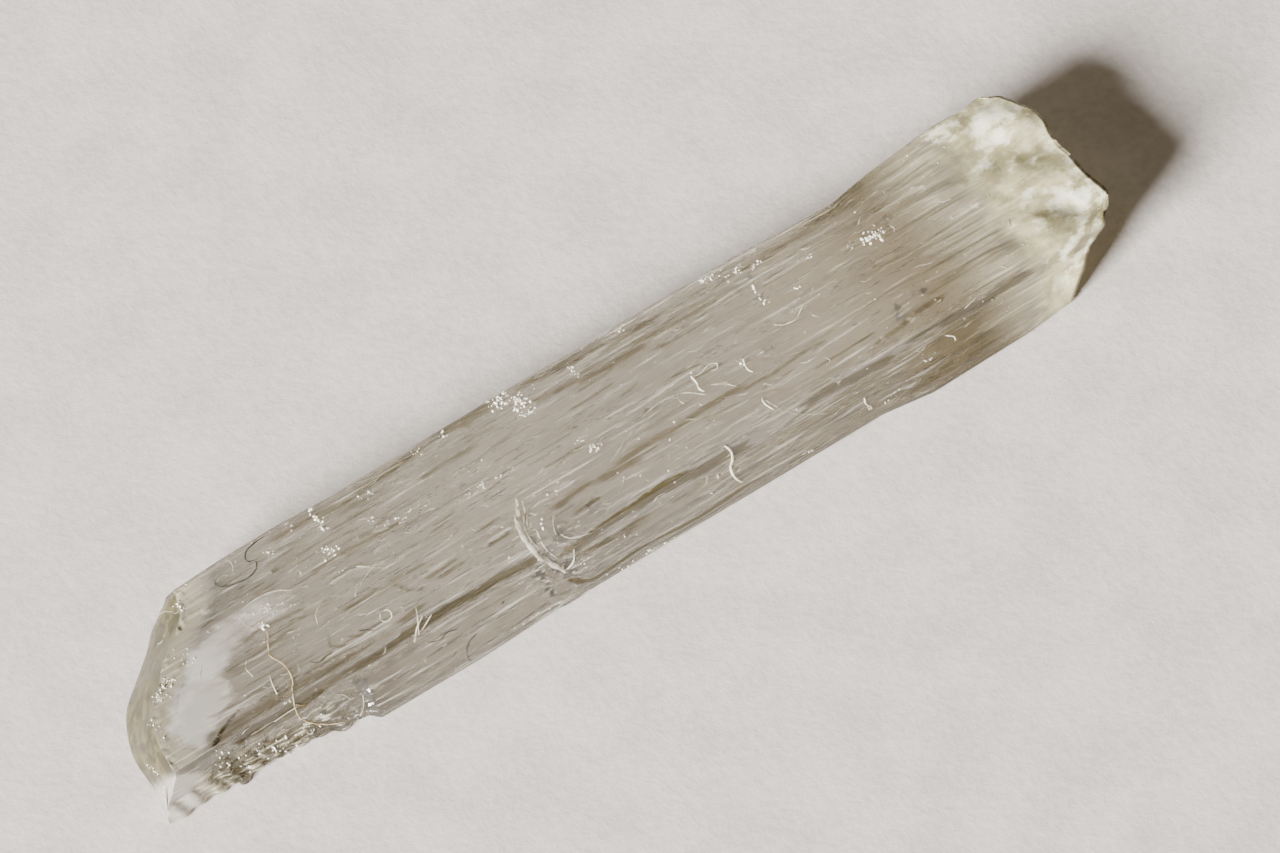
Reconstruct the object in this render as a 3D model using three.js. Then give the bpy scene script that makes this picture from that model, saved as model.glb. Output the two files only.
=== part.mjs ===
// Sodium acetate crystal, one clear prism lying on its broad flat face.
// Millimetres. +X runs along the prism, +Z is up, and the origin is under its middle.

import * as THREE from "three";
import { mergeVertices } from "three/addons/utils/BufferGeometryUtils.js";

// ---------- driving dimensions ----------

const THICKNESS = 0.78;
const NEAR_SIDE = -1.02;
const FAR_SIDE = 1.1;
const NEAR_TIP = -5.99;
const FAR_TIP = 6.02;

// The prism's edges in cross-section, as [y, z], going round from the near foot.
// The near side has a steep strip under the top face, then a sloping one down to the foot.
const TOP_NEAR_Y = -0.73;
const STEEP_Y = -0.77;
const STEEP_FOOT_Z = 0.48;
const SECTION = [
  [-0.98, 0],
  [0.98, 0],
  [1.06, 0.1],
  [FAR_SIDE, 0.66],
  [1.05, THICKNESS],
  [TOP_NEAR_Y, THICKNESS],
  [STEEP_Y, 0.74],
  [STEEP_Y, STEEP_FOOT_Z],
  [-0.9, 0.3],
  [-0.985, 0.14],
  [NEAR_SIDE, 0.03],
];
// How many facets cross each face of the section.
const FACETS_ACROSS = [6, 1, 5, 1, 22, 1, 2, 2, 2, 1, 1];
const TOP_FACE = 4;
const FAR_FACE = 2;

const RINGS_ALONG = 92;
const RINGS_NEAR_END = 4;
const RINGS_FAR_END = 5;

// The near end is a slanting facet. Its upper and lower edges, as [y, x].
const NEAR_END_TOP = [
  [NEAR_SIDE, -5.9], [-0.67, -5.88], [-0.34, -5.78], [-0.1, -5.66], [0.1, -5.42], [0.35, -5.2],
  [0.66, -4.76], [1, -4.6],
];
const NEAR_END_FOOT = [
  [NEAR_SIDE, NEAR_TIP], [-0.74, -5.93], [-0.55, -5.88], [-0.05, -5.84], [0.22, -5.74],
  [0.52, -5.56], [0.85, -5.13], [FAR_SIDE, -4.82],
];
// The far end overhangs. Its upper and lower edges, as [y, x].
const FAR_END_TOP = [
  [NEAR_SIDE, 5.45], [-0.74, 5.74], [-0.5, FAR_TIP], [-0.18, 5.95], [0.7, 5.93], [0.93, 5.76],
  [FAR_SIDE, 5.47],
];
const FAR_END_FOOT = [
  [NEAR_SIDE, 5.05], [0, 5.35], [FAR_SIDE, 5.2],
];

// How far the upper near edge, the near foot and the far edge stray from straight, as
// [x, shift in y].
const NEAR_EDGE_SHIFT = [
  [-5.2, -0.1], [-3, 0], [-1.12, 0], [-0.92, -0.1], [0.8, -0.065], [2.6, -0.04], [5.9, -0.03],
];
const NEAR_FOOT_SHIFT = [
  [-3.4, -0.06], [-2.3, -0.06], [-1.4, -0.02], [2.8, 0], [3.4, -0.08], [4.6, -0.05], [5, 0],
];
const FAR_EDGE_SHIFT = [
  [-4.5, -0.05], [-0.4, 0], [2.4, -0.01], [3.6, -0.06], [4.1, 0.03], [4.9, 0.12], [5.6, 0.15],
];

// The sloping near side is broken away at the near end and leaves a thin sliver, as [x, share].
const BREAK = [
  [-4.6, 1], [-4.1, 0.8], [-3.9, 0.55], [-3.6, 0.5], [-3.5, 0],
];
const BREAK_DEPTH = 0.62;
const BREAK_INSET = 0.45;

// Long thin growth plates stand on the faces or are sunk into them.
const PLATE_SEED = 11;
const PLATE_RISE = [0.018, 0.035];
const PLATE_REACH = 0.05;
const PLATE_LENGTH = [0.9, 4.2];
const PLATE_WIDTH = [0.05, 0.2];
const PLATE_SETS = [
  { face: TOP_FACE, count: 44 },
  { face: FAR_FACE, count: 9 },
];
// The near end of the top face is smooth, without plates.
const SMOOTH_END = [-4.9, -4.3];

// Lumps on the rough far end.
const LUMP_HEIGHT = 0.05;
const LUMP_START = 4.7;

// ---------- small helpers ----------

const mix = (a, b, share) => a + (b - a) * share;

const clamp01 = (value) => Math.min(1, Math.max(0, value));

// Smooth rise from 0 at "from" to 1 at "to".
function ramp(value, from, to) {
  const share = clamp01((value - from) / (to - from));
  return share * share * (3 - 2 * share);
}

// Straight-line reading of a list of [where, value] stops.
function along(stops, where) {
  if (where <= stops[0][0]) return stops[0][1];
  for (let k = 1; k < stops.length; k += 1) {
    const [from, low] = stops[k - 1];
    const [to, high] = stops[k];
    if (where <= to) return mix(low, high, (where - from) / (to - from));
  }
  return stops[stops.length - 1][1];
}

// Repeatable draws between 0 and 1.
function drawer(seed) {
  let state = seed;
  return () => {
    state = (state * 16807) % 2147483647;
    return state / 2147483647;
  };
}

// ---------- cross-section ----------

function faceLength(face) {
  const [y0, z0] = SECTION[face];
  const [y1, z1] = SECTION[(face + 1) % SECTION.length];
  return Math.hypot(y1 - y0, z1 - z0);
}

// Points round the section. Each knows its face, its distance across it and its outward direction.
function sectionPoints() {
  const points = [];
  SECTION.forEach(([y0, z0], face) => {
    const [y1, z1] = SECTION[(face + 1) % SECTION.length];
    const length = faceLength(face);
    for (let k = 0; k < FACETS_ACROSS[face]; k += 1) {
      const share = k / FACETS_ACROSS[face];
      points.push({
        y: mix(y0, y1, share),
        z: mix(z0, z1, share),
        face,
        across: share * length,
        outward: [(z1 - z0) / length, (y0 - y1) / length],
      });
    }
  });
  return points;
}

// ---------- growth plates ----------

function growthPlates() {
  const draw = drawer(PLATE_SEED);
  const between = ([low, high]) => mix(low, high, draw());
  const plates = [];
  for (const { face, count } of PLATE_SETS) {
    for (let k = 0; k < count; k += 1) {
      const x = mix(NEAR_TIP, FAR_TIP, draw());
      const across = faceLength(face) * draw();
      const length = between(PLATE_LENGTH);
      const width = between(PLATE_WIDTH);
      const rise = between(PLATE_RISE) * (draw() < 0.5 ? -1 : 1);
      plates.push({ face, x, across, length, width, rise });
    }
  }
  return plates;
}

// Height of the plates at a place on a face. A plate is lens-shaped, with blunt points.
function plateHeight(plates, face, x, across) {
  let height = 0;
  for (const plate of plates) {
    const lengthwise = Math.abs(x - plate.x) / plate.length;
    if (plate.face !== face || lengthwise >= 1) continue;
    const halfWidth = plate.width * (1 - lengthwise) ** 0.35;
    if (Math.abs(across - plate.across) < halfWidth) height += plate.rise;
  }
  const kept = Math.min(PLATE_REACH, Math.max(-PLATE_REACH, height));
  return kept * ramp(x, ...SMOOTH_END);
}

// ---------- ends, edges and breaks ----------

function nearEnd(y, z) {
  const height = z / THICKNESS;
  const bulge = 0.05 * Math.sin(Math.PI * height);
  return mix(along(NEAR_END_FOOT, y), along(NEAR_END_TOP, y), height) - bulge;
}

function farEnd(y, z) {
  const height = (z / THICKNESS) ** 0.8;
  return mix(along(FAR_END_FOOT, y), along(FAR_END_TOP, y), height);
}

// Smooth lumps, the same everywhere for the same place.
function lump(x, y, z) {
  const { sin } = Math;
  const coarse = sin(4.1 * x + 2.3 * y + 1.3) * sin(5.3 * y - 2.9 * z) * sin(4.7 * z + 1.9 * x);
  const fine = sin(11 * x - 7 * z) * sin(12.5 * y + 3 * x) * sin(9.5 * z + 2);
  return coarse + 0.5 * fine;
}

// The near side's slope is lowered and drawn in where it is broken.
function breakSlope(x, y, z) {
  if (y > STEEP_Y + 0.001 || z > STEEP_FOOT_Z + 0.001) return [y, z];
  const ragged = along(BREAK, x) * (0.86 + 0.14 * Math.sin(17 * x) * Math.sin(9 * x + 8 * z));
  return [
    mix(y, STEEP_Y, BREAK_INSET * ragged),
    z * (1 - BREAK_DEPTH * ragged),
  ];
}

// Where a point of the blank goes: station is 0 at the near end and 1 at the far end, and
// radius is 1 on the sides and falls to 0 at the middle of an end.
function crystalPoint(point, radius, station, plates) {
  const middleY = 0;
  const middleZ = THICKNESS / 2;
  let y = mix(middleY, point.y, radius);
  let z = mix(middleZ, point.z, radius);
  let x = mix(nearEnd(y, z), farEnd(y, z), station);

  const upper = ramp(z, 0.1, STEEP_FOOT_Z);
  const low = ramp(-y, 0.7, 0.98) * ramp(STEEP_FOOT_Z - z, 0, 0.35);
  y += along(NEAR_EDGE_SHIFT, x) * ramp(-y, 0.35, 0.7) * upper;
  y += along(NEAR_FOOT_SHIFT, x) * low;
  y += along(FAR_EDGE_SHIFT, x) * ramp(y, 0.4, 1) * upper;

  if (radius === 1) {
    const rise = plateHeight(plates, point.face, x, point.across);
    y += point.outward[0] * rise;
    z += point.outward[1] * rise;
  }
  [y, z] = breakSlope(x, y, z);

  const rough = ramp(x, LUMP_START, LUMP_START + 0.9) * LUMP_HEIGHT;
  const bump = lump(x, y, z);
  if (radius === 1) {
    y += point.outward[0] * bump * rough;
    z += point.outward[1] * bump * rough * ramp(z, 0, 0.2);
  } else {
    x += bump * rough * 1.4;
  }
  return new THREE.Vector3(x, y, z);
}

// ---------- the crystal ----------

// A turned blank, closed at both ends on its axis, whose points are then moved into place.
function crystalGeometry() {
  const profile = [];
  for (let k = 0; k < RINGS_NEAR_END; k += 1) profile.push(new THREE.Vector2(k / RINGS_NEAR_END, 0));
  for (let k = 0; k <= RINGS_ALONG; k += 1) profile.push(new THREE.Vector2(1, k / RINGS_ALONG));
  for (let k = RINGS_FAR_END - 1; k >= 0; k -= 1) profile.push(new THREE.Vector2(k / RINGS_FAR_END, 1));

  const ring = sectionPoints();
  const plates = growthPlates();
  const blank = new THREE.LatheGeometry(profile, ring.length);
  const place = blank.attributes.position;
  for (let i = 0; i <= ring.length; i += 1) {
    for (let j = 0; j < profile.length; j += 1) {
      const at = crystalPoint(ring[i % ring.length], profile[j].x, profile[j].y, plates);
      place.setXYZ(i * profile.length + j, at.x, at.y, at.z);
    }
  }
  blank.deleteAttribute("normal");
  blank.deleteAttribute("uv");
  const geometry = mergeVertices(blank, 1e-5);
  geometry.computeBoundingBox();
  const middle = geometry.boundingBox.getCenter(new THREE.Vector3());
  geometry.translate(-middle.x, -middle.y, -geometry.boundingBox.min.z);
  geometry.computeVertexNormals();
  return geometry;
}

const clearSalt = new THREE.MeshStandardMaterial({
  color: 0xd9d3c4,
  roughness: 0.08,
  metalness: 0,
  transparent: true,
  opacity: 0.35,
});

const crystal = new THREE.Mesh(crystalGeometry(), clearSalt);
crystal.name = "crystal";

const part = new THREE.Group();
part.add(crystal);

export default part;
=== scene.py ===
import math

import bmesh
import bpy
import numpy as np
from mathutils import Euler, Matrix, Vector, noise
from mathutils.bvhtree import BVHTree


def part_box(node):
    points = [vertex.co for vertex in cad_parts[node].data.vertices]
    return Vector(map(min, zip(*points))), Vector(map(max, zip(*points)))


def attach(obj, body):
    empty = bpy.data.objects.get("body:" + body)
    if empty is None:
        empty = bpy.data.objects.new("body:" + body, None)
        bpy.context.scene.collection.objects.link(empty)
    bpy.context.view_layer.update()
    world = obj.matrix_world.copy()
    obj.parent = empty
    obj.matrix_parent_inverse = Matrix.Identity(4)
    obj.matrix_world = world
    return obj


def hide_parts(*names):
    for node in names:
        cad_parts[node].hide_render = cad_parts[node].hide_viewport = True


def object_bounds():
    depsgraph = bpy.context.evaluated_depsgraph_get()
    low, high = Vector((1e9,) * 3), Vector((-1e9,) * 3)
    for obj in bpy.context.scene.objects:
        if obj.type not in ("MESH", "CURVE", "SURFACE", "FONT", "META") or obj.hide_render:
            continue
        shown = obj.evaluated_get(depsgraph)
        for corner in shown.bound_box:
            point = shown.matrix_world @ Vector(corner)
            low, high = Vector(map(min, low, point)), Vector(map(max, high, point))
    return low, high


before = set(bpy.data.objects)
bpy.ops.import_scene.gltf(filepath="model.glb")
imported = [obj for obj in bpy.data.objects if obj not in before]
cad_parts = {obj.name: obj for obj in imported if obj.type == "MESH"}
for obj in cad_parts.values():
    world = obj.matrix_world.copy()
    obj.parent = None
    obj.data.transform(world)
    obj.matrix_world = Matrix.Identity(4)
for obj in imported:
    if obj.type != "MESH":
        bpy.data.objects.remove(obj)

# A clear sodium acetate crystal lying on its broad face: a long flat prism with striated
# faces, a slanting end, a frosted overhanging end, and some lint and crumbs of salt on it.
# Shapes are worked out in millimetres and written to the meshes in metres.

CAD_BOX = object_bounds()
MM = 0.001

# ---------- the crystal's form ----------

THICKNESS = 0.78
NEAR_SIDE = -1.02
FAR_SIDE = 1.1
NEAR_TIP = -5.99
FAR_TIP = 6.02
STEEP_Y = -0.77
STEEP_FOOT_Z = 0.48

# The prism's edges in cross-section, as (y, z, width of the facets on the face that follows).
SECTION = [
    (-0.98, 0, 0.03),
    (0.98, 0, 0.03),
    (1.06, 0.1, 0.02),
    (FAR_SIDE, 0.66, 0.02),
    (1.05, THICKNESS, 0.0125),
    (-0.73, THICKNESS, 0.014),
    (STEEP_Y, 0.74, 0.018),
    (STEEP_Y, STEEP_FOOT_Z, 0.015),
    (-0.9, 0.3, 0.016),
    (-0.985, 0.14, 0.016),
    (NEAR_SIDE, 0.03, 0.02),
]
BOTTOM_FACE = 0
LOW_FAR_FACE = 1
FAR_FACE = 2
TOP_FACE = 4
STEEP_FACE = 6
SLOPE_FACE = 7
LOW_SLOPE_FACE = 8

# Stations of the rings along the prism, closer together at the slanting end.
RINGS_ALONG = np.concatenate([np.linspace(0, 0.24, 90, endpoint=False), np.linspace(0.24, 1, 196)])
RINGS_NEAR_END = 18
RINGS_FAR_END = 22
# The blank is 1 long with a radius of 1, and points beyond this are on its side or its far cap.
BLANK_EDGE = 0.999

# Upper and lower edges of the two ends, as (y, x).
NEAR_END_TOP = [(NEAR_SIDE, -5.9), (-0.67, -5.88), (-0.34, -5.78), (-0.1, -5.66), (0.1, -5.42),
                (0.35, -5.2), (0.66, -4.76), (1, -4.6)]
NEAR_END_FOOT = [(NEAR_SIDE, NEAR_TIP), (-0.74, -5.93), (-0.55, -5.88), (-0.05, -5.84),
                 (0.22, -5.74), (0.52, -5.56), (0.85, -5.13), (FAR_SIDE, -4.82)]
FAR_END_TOP = [(NEAR_SIDE, 5.58), (-0.74, 5.79), (-0.5, FAR_TIP), (-0.18, 5.95), (0.7, 5.95),
               (0.93, 5.83), (FAR_SIDE, 5.58)]
FAR_END_FOOT = [(NEAR_SIDE, 5.2), (0, 5.35), (FAR_SIDE, 5.2)]

# How far the upper near edge, the near foot and the far edge stray from straight, as
# (x, shift in y).
NEAR_EDGE_SHIFT = [(-5.6, -0.1), (-5, -0.02), (-4, 0.02), (-3, 0.04), (-2.4, 0.07), (-1.9, 0.06),
                   (-1.4, 0.04), (-1.12, 0), (-0.92, -0.1), (0.8, -0.065), (2.6, -0.04), (5.9, -0.03)]
NEAR_FOOT_SHIFT = [(-3.4, -0.06), (-2.3, -0.06), (-1.4, -0.02), (2.8, 0), (3.4, -0.08),
                   (4.6, -0.05), (5, 0)]
FAR_EDGE_SHIFT = [(-4.5, -0.05), (-0.4, 0), (2.4, -0.01), (3.6, -0.06), (4.1, 0.03),
                  (4.9, 0.12), (5.6, 0.15)]

# The near side's slope is broken away at the slanting end, as (x, share).
BREAK = [(-4.6, 1), (-4.1, 0.8), (-3.9, 0.55), (-3.6, 0.5), (-3.5, 0)]
BREAK_DEPTH = 0.62
BREAK_INSET = 0.75

# The lumps of the far end: where they start, the length over which they grow, their height,
# and how much further they bulge out past the end.
LUMP_START = 4.7
LUMP_GROWTH = 0.9
LUMP_HEIGHT = 0.05
LUMP_BULGE = 1.4
# How far the far end's face draws back under its lip.
LIP_UNDERCUT = 0.08
# Fine roughness, each layer as (height, scale, seed).
FROSTED_ROUGHNESS = [(0.035, 2.1, 3), (0.022, 5, 8)]
BROKEN_ROUGHNESS = [(0.05, 7, 5), (0.03, 19, 6)]
CHIPPED_ROUGHNESS = [(0.02, 13, 12)]
FROSTED_START = 4.5
# Faces are smooth where they look towards the slanting end, with a normal under this in x, and
# beyond this share of the length.
SLANT_FACING = -0.25
LUMPY_FROM = 0.89


class Plates:
    """Long thin growth plates on one face: how many, and their range of sizes."""

    def __init__(self, face, count, length, width, rise, sunk):
        self.face = face
        self.count = count
        self.length = length
        self.width = width
        self.rise = rise
        self.sunk = sunk


# Plates fade out between these places at both ends, and together stay within these heights.
PLATES_START = (-4.9, -4.3)
PLATES_END = (4.4, 5)
PLATE_HEIGHTS = (-0.07, 0.05)
LARGE_PLATES = [
    Plates(TOP_FACE, 44, (0.9, 4.2), (0.05, 0.2), (0.018, 0.035), 0.5),
    Plates(FAR_FACE, 9, (0.9, 4.2), (0.05, 0.2), (0.018, 0.035), 0.5),
]
FINE_PLATES = [
    Plates(TOP_FACE, 340, (0.6, 4.0), (0.01, 0.07), (0.0008, 0.004), 0.55),
    Plates(TOP_FACE, 30, (0.5, 2.4), (0.015, 0.04), (0.003, 0.007), 0.6),
    Plates(TOP_FACE, 120, (0.15, 0.9), (0.01, 0.025), (0.001, 0.003), 0.6),
    Plates(BOTTOM_FACE, 110, (0.6, 4.0), (0.03, 0.1), (0.001, 0.007), 1),
    Plates(FAR_FACE, 70, (0.3, 3.0), (0.01, 0.06), (0.001, 0.006), 0.5),
    Plates(STEEP_FACE, 6, (0.4, 2.4), (0.02, 0.05), (0.001, 0.004), 0.5),
    Plates(SLOPE_FACE, 24, (0.4, 3.0), (0.01, 0.05), (0.0005, 0.003), 0.5),
    Plates(LOW_SLOPE_FACE, 16, (0.4, 3.0), (0.01, 0.05), (0.0005, 0.003), 0.5),
]

# Marks are drawn on the level of the top face, as (x, y), and slid down this slant onto
# whatever face lies below: how far they shift in x and y for each millimetre of height.
MARK_SLANT = (0.41, 0.568)

# Outlines: the smooth clear patch at the slanting end, the facet sunk beside it along the near
# edge, the whitish patch at the tip of the clear one, and the pale broken corner.
CLEAR_PATCH = [(-5.65, -0.63), (-5.66, -0.38), (-5.5, -0.2), (-5.31, -0.02), (-5.14, 0.07), (-4.97, 0.26),
               (-4.92, 0.34), (-4.6, 0.37), (-4.33, 0.41), (-3.95, 0.39), (-3.85, 0.31), (-3.72, 0.28),
               (-3.84, 0.2), (-3.8, 0.13), (-4.0, 0.1), (-4.33, 0.05), (-4.76, -0.06), (-4.84, -0.38),
               (-4.93, -0.48), (-5.14, -0.59), (-5.34, -0.67), (-5.48, -0.78)]
SUNK_FACET = [(-5.42, -0.82), (-5.3, -0.74), (-5.17, -0.67), (-4.9, -0.575), (-4.6, -0.59),
              (-4.27, -0.6), (-3.95, -0.6), (-3.75, -0.61), (-3.4, -0.66), (-2.9, -0.82), (-5.4, -1.1)]
SUNK_FACET_DEPTH = 0.035
WHITE_PATCH = [(-4.25, 0.34), (-3.98, 0.37), (-3.72, 0.34), (-3.66, 0.22), (-3.8, 0.13), (-4.1, 0.2)]
PALE_CORNER = [(-6.3, -0.9), (-5.98, -0.78), (-5.66, -0.96), (-5.66, -1.12), (-5.5, -1.2),
               (-5.45, -1.4), (-6.4, -1.4)]

# Dark brown veins in the depth of the near side, and painted shade for the dark streak that the steep face
# shows by refraction, as half width, strength and their points.
DARK_VEINS_AND_SHADE = [
    (0.13, 1.1, [(-5.0, -0.87), (-4.85, -0.86), (-4.5, -0.86), (-4.2, -0.86)]),
    (0.05, 1.4, [(-4.95, -0.83), (-4.6, -0.84), (-4.15, -0.85)]),
    (0.04, 1.3, [(-4.85, -0.9), (-4.5, -0.91), (-4.2, -0.9)]),
    (0.12, 0.9, [(-4.1, -0.85), (-3.9, -0.85), (-3.4, -0.84), (-3.0, -0.83)]),
    (0.12, 1.0, [(-3.0, -0.83), (-2.5, -0.8), (-1.9, -0.8), (-1.55, -0.83)]),
    (0.04, 1.4, [(-3.0, -0.81), (-2.4, -0.77), (-1.8, -0.78)]),
    (0.03, 1.2, [(-2.2, -0.83), (-1.8, -0.83), (-1.5, -0.84)]),
    (0.115, 1.0, [(-1.05, -0.93), (-0.8, -0.92), (-0.5, -0.91), (-0.2, -0.91)]),
    (0.105, 1.1, [(-0.35, -0.91), (0.1, -0.88), (0.35, -0.89), (0.6, -0.92), (1.02, -0.94)]),
    (0.05, 1.4, [(-0.2, -0.88), (0.05, -0.88)]),
    (0.055, 1.5, [(0.2, -0.88), (0.4, -0.9)]),
    (0.045, 1.5, [(0.5, -0.93), (0.95, -0.94)]),
    (0.08, 0.5, [(1, -0.98), (1.5, -0.98), (2.05, -0.92)]),
    (0.11, 1.0, [(2.05, -0.89), (2.4, -0.9), (2.85, -0.9)]),
    (0.07, 0.8, [(3.3, -0.88), (3.8, -0.87)]),
    (0.095, 1.0, [(3.75, -0.88), (4.3, -0.89), (4.62, -0.88)]),
    (0.04, 0.6, [(0.1, -0.83), (0.22, -0.79), (0.36, -0.81)]),
    (0.022, 0.7, [(-5.36, -0.77), (-5.17, -0.68), (-5.0, -0.6), (-4.9, -0.575), (-4.72, -0.59)]),
    (0.022, 0.7, [(-4.9, -0.58), (-4.41, -0.6), (-4.16, -0.6), (-3.91, -0.59), (-3.78, -0.56)]),
    (0.03, 0.8, [(-5.4, -0.8), (-5.3, -0.76)]),
    (0.026, 0.7, [(-5.4, -0.8), (-5.34, -0.92), (-5.2, -1.0), (-5.1, -1.02)]),
    (0.024, 0.8, [(-2.6, -1.38), (-2.2, -1.37), (-1.8, -1.36)]),
    (0.036, 1.0, [(-1.28, -1.24), (-1.2, -1.33), (-1.1, -1.37), (-0.55, -1.35), (0, -1.37), (0.85, -1.36)]),
    (0.028, 0.8, [(0.8, -1.36), (1.4, -1.37), (1.9, -1.37)]),
    (0.045, 0.9, [(-5.5, -1.02), (-5.4, -1.08), (-5.32, -1.05)]),
]
# Softer olive marks, most of them in the top face.
OLIVE_MARKS = [
    (0.15, 0.8, [(-5.22, -0.78), (-4.9, -0.7), (-4.5, -0.7), (-4.1, -0.71), (-3.75, -0.71)]),
    (0.08, 0.5, [(-3.8, -0.7), (-3.4, -0.71), (-3.0, -0.73)]),
    (0.14, 0.55, [(-4.78, -0.15), (-4.5, -0.17), (-4.2, -0.18)]),
    (0.12, 0.4, [(-4.3, -0.22), (-3.9, -0.24)]),
    (0.04, 0.7, [(-4.75, -0.12), (-4.3, -0.13), (-3.9, -0.1)]),
    (0.15, 0.3, [(-5.82, -0.72), (-5.76, -0.42), (-5.6, -0.14), (-5.4, 0.06), (-5.15, 0.24), (-4.9, 0.4),
                 (-4.6, 0.52)]),
    (0.014, 0.7, [(-5.85, -0.87), (-5.62, -0.96), (-5.45, -1.0)]),
    (0.012, 0.6, [(-5.8, -1.0), (-5.62, -1.06), (-5.4, -1.08)]),
    (0.014, 0.8, [(-5.66, -0.64), (-5.52, -0.74), (-5.42, -0.8)]),
    (0.024, 0.5, [(-5.62, -0.6), (-5.6, -0.42), (-5.46, -0.26), (-5.3, -0.08), (-5.16, 0.02)]),
    (0.06, 0.9, [(-5.1, 0.18), (-5.02, 0.22)]),
    (0.014, 0.7, [(-4.0, 0.28), (-3.85, 0.22), (-3.72, 0.2), (-3.63, 0.12)]),
    (0.014, 0.7, [(-3.78, 0.36), (-3.64, 0.28), (-3.59, 0.17), (-3.66, 0.1)]),
    (0.03, 0.7, [(-4.95, -0.47), (-4.6, -0.48), (-4.2, -0.48)]),
    (0.04, 0.8, [(-4.5, 0.06), (-4.2, 0.08), (-3.7, 0.06)]),
    (0.07, 0.8, [(-3.4, 0.92), (-3, 0.9), (-2.6, 0.86)]),
    (0.11, 0.45, [(-3.4, 0.78), (-3.1, 0.8), (-2.5, 0.82)]),
    (0.05, 0.8, [(-3.3, 0.38), (-2.9, 0.36), (-2.3, 0.35)]),
    (0.045, 0.8, [(-3.3, -0.2), (-2.8, -0.22), (-2.4, -0.2)]),
    (0.04, 0.6, [(-4.95, -0.36), (-4.1, -0.41)]),
    (0.04, 0.6, [(-5.2, -0.49), (-4.5, -0.5), (-3.94, -0.48)]),
    (0.15, 0.35, [(-5, 0.52), (-4.4, 0.55), (-3.8, 0.58)]),
    (0.016, 0.9, [(-4.64, 0.47), (-4.3, 0.5), (-3.82, 0.54)]),
    (0.014, 0.8, [(-3.7, 0.56), (-3.3, 0.54), (-2.95, 0.54), (-2, 0.53)]),
    (0.016, 0.8, [(-2.87, 0.66), (-2.43, 0.67)]),
    (0.08, 0.9, [(-0.82, -0.42), (-0.65, -0.39), (-0.45, -0.39)]),
    (0.11, 0.9, [(-0.22, -0.42), (0.0, -0.4), (0.05, -0.42)]),
    (0.08, 0.95, [(0.0, -0.37), (0.26, -0.32), (0.6, -0.35)]),
    (0.06, 1.0, [(0.6, -0.35), (1.1, -0.33), (1.5, -0.31)]),
    (0.045, 0.8, [(1.4, -0.34), (1.94, -0.37), (2.5, -0.35)]),
    (0.13, 0.5, [(0.5, -0.14), (0.9, -0.14)]),
    (0.036, 0.8, [(2.3, -0.59), (2.98, -0.56)]),
    (0.06, 1.0, [(3.05, -0.68), (3.33, -0.67)]),
    (0.06, 0.8, [(3.4, -0.64), (3.81, -0.61)]),
    (0.08, 0.85, [(3.8, -0.5), (4.2, -0.46), (4.6, -0.5)]),
    (0.036, 0.6, [(3.7, -0.25), (4.45, -0.24)]),
    (0.06, 0.8, [(-0.25, 0.75), (0.18, 0.73)]),
    (0.07, 0.9, [(0.3, 0.7), (0.95, 0.67)]),
    (0.07, 0.8, [(1.0, 0.74), (1.75, 0.71)]),
    (0.035, 0.8, [(-0.02, 0.47), (0.47, 0.49)]),
    (0.1, 0.8, [(-2.3, 0.92), (-1.65, 0.93)]),
    (0.11, 0.7, [(-1.25, 0.98), (-0.76, 0.98)]),
    (0.11, 0.6, [(-0.26, 0.99), (0.56, 0.95)]),
    (0.06, 0.7, [(0.65, 0.88), (1.3, 0.89)]),
    (0.06, 0.7, [(-1.7, 0.65), (-1.13, 0.68)]),
    (0.06, 0.8, [(2.7, 0.88), (3.4, 0.88)]),
    (0.09, 0.7, [(3.3, 0.9), (3.8, 0.9)]),
    (0.12, 0.5, [(3.86, 1.02), (4.75, 1.05)]),
    (0.04, 0.7, [(-2.12, 0), (-1.66, 0.01)]),
    (0.03, 0.8, [(-2.16, -0.1), (-1.83, -0.08)]),
    (0.045, 0.8, [(-2.4, -0.38), (-2.11, -0.35)]),
    (0.045, 0.8, [(-2.28, -0.43), (-2.05, -0.42)]),
    (0.06, 1.0, [(-2.9, -0.67), (-2.75, -0.64)]),
    (0.04, 1.0, [(-0.72, -0.6), (-0.49, -0.6)]),
    (0.03, 0.9, [(0.26, -0.55), (0.4, -0.54)]),
    (0.05, 0.8, [(-1.66, -0.43), (-1.48, -0.42)]),
    (0.045, 0.8, [(-2.76, -0.23), (-2.68, -0.4), (-2.55, -0.46)]),
    (0.035, 0.8, [(-3.66, -0.37), (-3.72, -0.49), (-3.6, -0.56)]),
    (0.03, 0.8, [(-3.5, -0.48), (-3.38, -0.56)]),
    (0.1, 0.7, [(-0.9, -1.03), (-0.69, -1.09), (-0.47, -1.13), (-0.27, -1.07)]),
    (0.08, 0.5, [(-1.02, -0.66), (-1.04, -0.8)]),
    (0.11, 0.4, [(1.2, -0.85), (2.2, -0.75), (3, -0.76)]),
    (0.11, 0.4, [(3.8, -1.12), (4.25, -1.09)]),
    (0.14, 0.5, [(4.8, -0.3), (4.83, -0.61), (4.85, -0.94)]),
    (0.06, 0.6, [(2.4, -1.33), (2.85, -1.31)]),
    (0.07, 0.8, [(2.85, -1.39), (3.16, -1.41), (3.46, -1.44), (4.17, -1.45)]),
    (0.035, 1.0, [(5.77, -0.07), (5.79, -0.06)]),
]
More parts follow.
